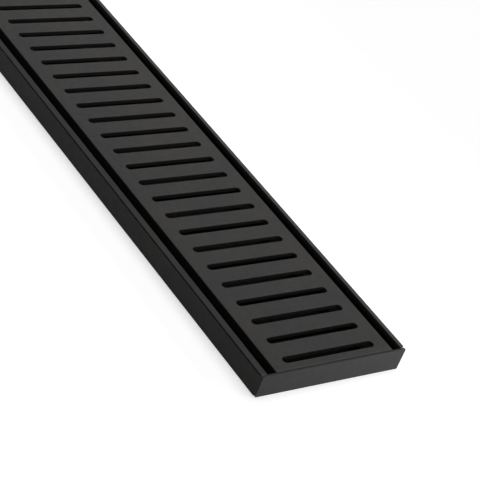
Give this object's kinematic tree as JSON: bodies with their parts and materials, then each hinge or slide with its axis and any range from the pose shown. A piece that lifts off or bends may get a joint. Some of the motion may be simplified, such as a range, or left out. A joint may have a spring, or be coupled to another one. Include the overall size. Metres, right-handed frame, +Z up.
{
  "type": "channel drain",
  "caption": "Low, matt black linear channel drain: slotted lift-out grate between open side gaps, flat end plates and a round outlet in the floor.",
  "frame": {"origin": "middle of the underside, under the centre of the outlet", "axes": "+X across the channel, +Y along it from the near end plate to the far one, +Z up"},
  "size_m": [0.1, 0.6, 0.015],
  "materials": {
    "channel": "fine matt black coating on an aluminium extrusion",
    "grate": "fine matt black coating on an aluminium extrusion with punched slots",
    "end_plates": "fine matt black coating on flat sheet",
    "collar": "fine matt black coating on a turned ring",
    "supports": "matt black coated flat bar"
  },
  "bodies": {
    "root": {"channel_body": "channel", "grate": "grate", "end_plate_near": "end_plates", "end_plate_far": "end_plates", "outlet_collar": "collar", "grate_support_01": "supports", "grate_support_02": "supports", "grate_support_03": "supports", "grate_support_04": "supports", "grate_support_05": "supports", "grate_support_06": "supports", "grate_support_07": "supports", "grate_support_08": "supports", "grate_support_09": "supports", "grate_support_10": "supports", "grate_support_11": "supports", "grate_support_12": "supports", "grate_support_13": "supports", "grate_support_14": "supports", "grate_support_15": "supports", "grate_support_16": "supports", "grate_support_17": "supports", "grate_support_18": "supports"}
  },
  "joints": []
}
